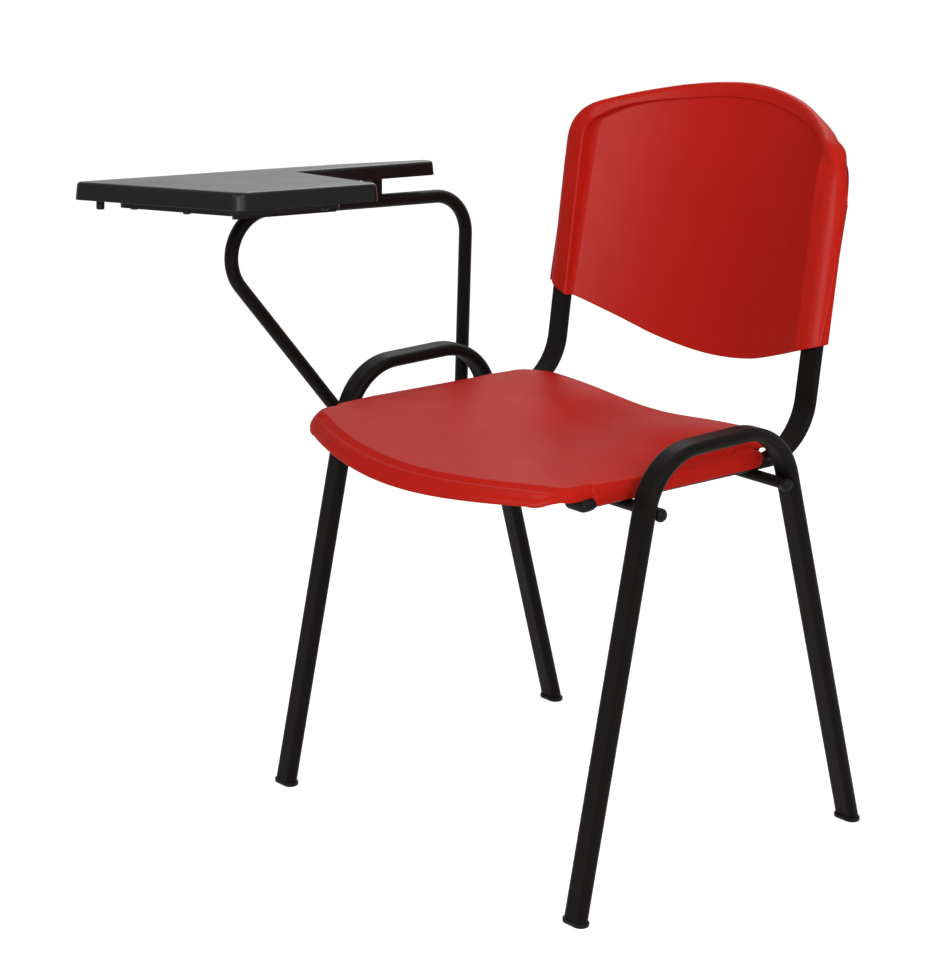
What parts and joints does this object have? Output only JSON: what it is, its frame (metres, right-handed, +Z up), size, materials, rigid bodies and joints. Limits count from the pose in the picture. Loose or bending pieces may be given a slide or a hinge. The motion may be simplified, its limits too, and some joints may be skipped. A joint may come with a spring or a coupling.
{
  "type": "tablet arm chair",
  "caption": "Stacking conference chair with curved plastic seat and back on an oval steel tube frame, and a writing tablet that turns up on a bent side arm.",
  "frame": {"origin": "on the floor, in the chair's middle plane, midway between the front and rear feet", "axes": "+Z up, -Y the way the sitter faces, +X to the sitter's left; the tablet is on the -X side"},
  "size_m": [0.5806, 0.7457, 0.819],
  "materials": {
    "black_powder_coated_steel": "satin",
    "red_polypropylene": "satin, fine moulded grain",
    "black_polyethylene": "satin",
    "blackened_steel": "satin",
    "black_abs_plastic": "satin",
    "black_rubber": "matte"
  },
  "bodies": {
    "chair": {"left_leg_frame": "black_powder_coated_steel", "right_leg_frame": "black_powder_coated_steel", "left_seat_rail": "black_powder_coated_steel", "right_seat_rail": "black_powder_coated_steel", "front_cross_tube": "black_powder_coated_steel", "rear_cross_tube": "black_powder_coated_steel", "arm_tube": "black_powder_coated_steel", "seat_shell": "red_polypropylene", "back_shell": "red_polypropylene", "front_left_foot": "black_polyethylene", "front_right_foot": "black_polyethylene", "rear_left_foot": "black_polyethylene", "rear_right_foot": "black_polyethylene", "left_rail_plug": "black_polyethylene", "right_rail_plug": "black_polyethylene", "cross_tube_caps": "black_polyethylene", "arm_tube_plugs": "black_polyethylene", "arm_mount_inserts": "blackened_steel", "arm_bolts": "blackened_steel", "seat_screws": "blackened_steel", "back_screws": "blackened_steel", "hinge_stop_pin": "blackened_steel"},
    "tablet": {"tablet_top": "black_abs_plastic", "under_cover": "black_abs_plastic", "hinge_housing": "black_abs_plastic", "rear_saddle": "black_abs_plastic", "cover_screws": "blackened_steel", "housing_screws": "blackened_steel", "saddle_screw": "blackened_steel", "tablet_bumper": "black_rubber"}
  },
  "joints": [
    {"name": "tablet_hinge", "type": "hinge", "parent": "chair", "child": "tablet", "pos_m": [-0.283, 0, 0.6793], "axis": [0, -0.9979, 0.0645], "range_deg": [0, 100]}
  ]
}
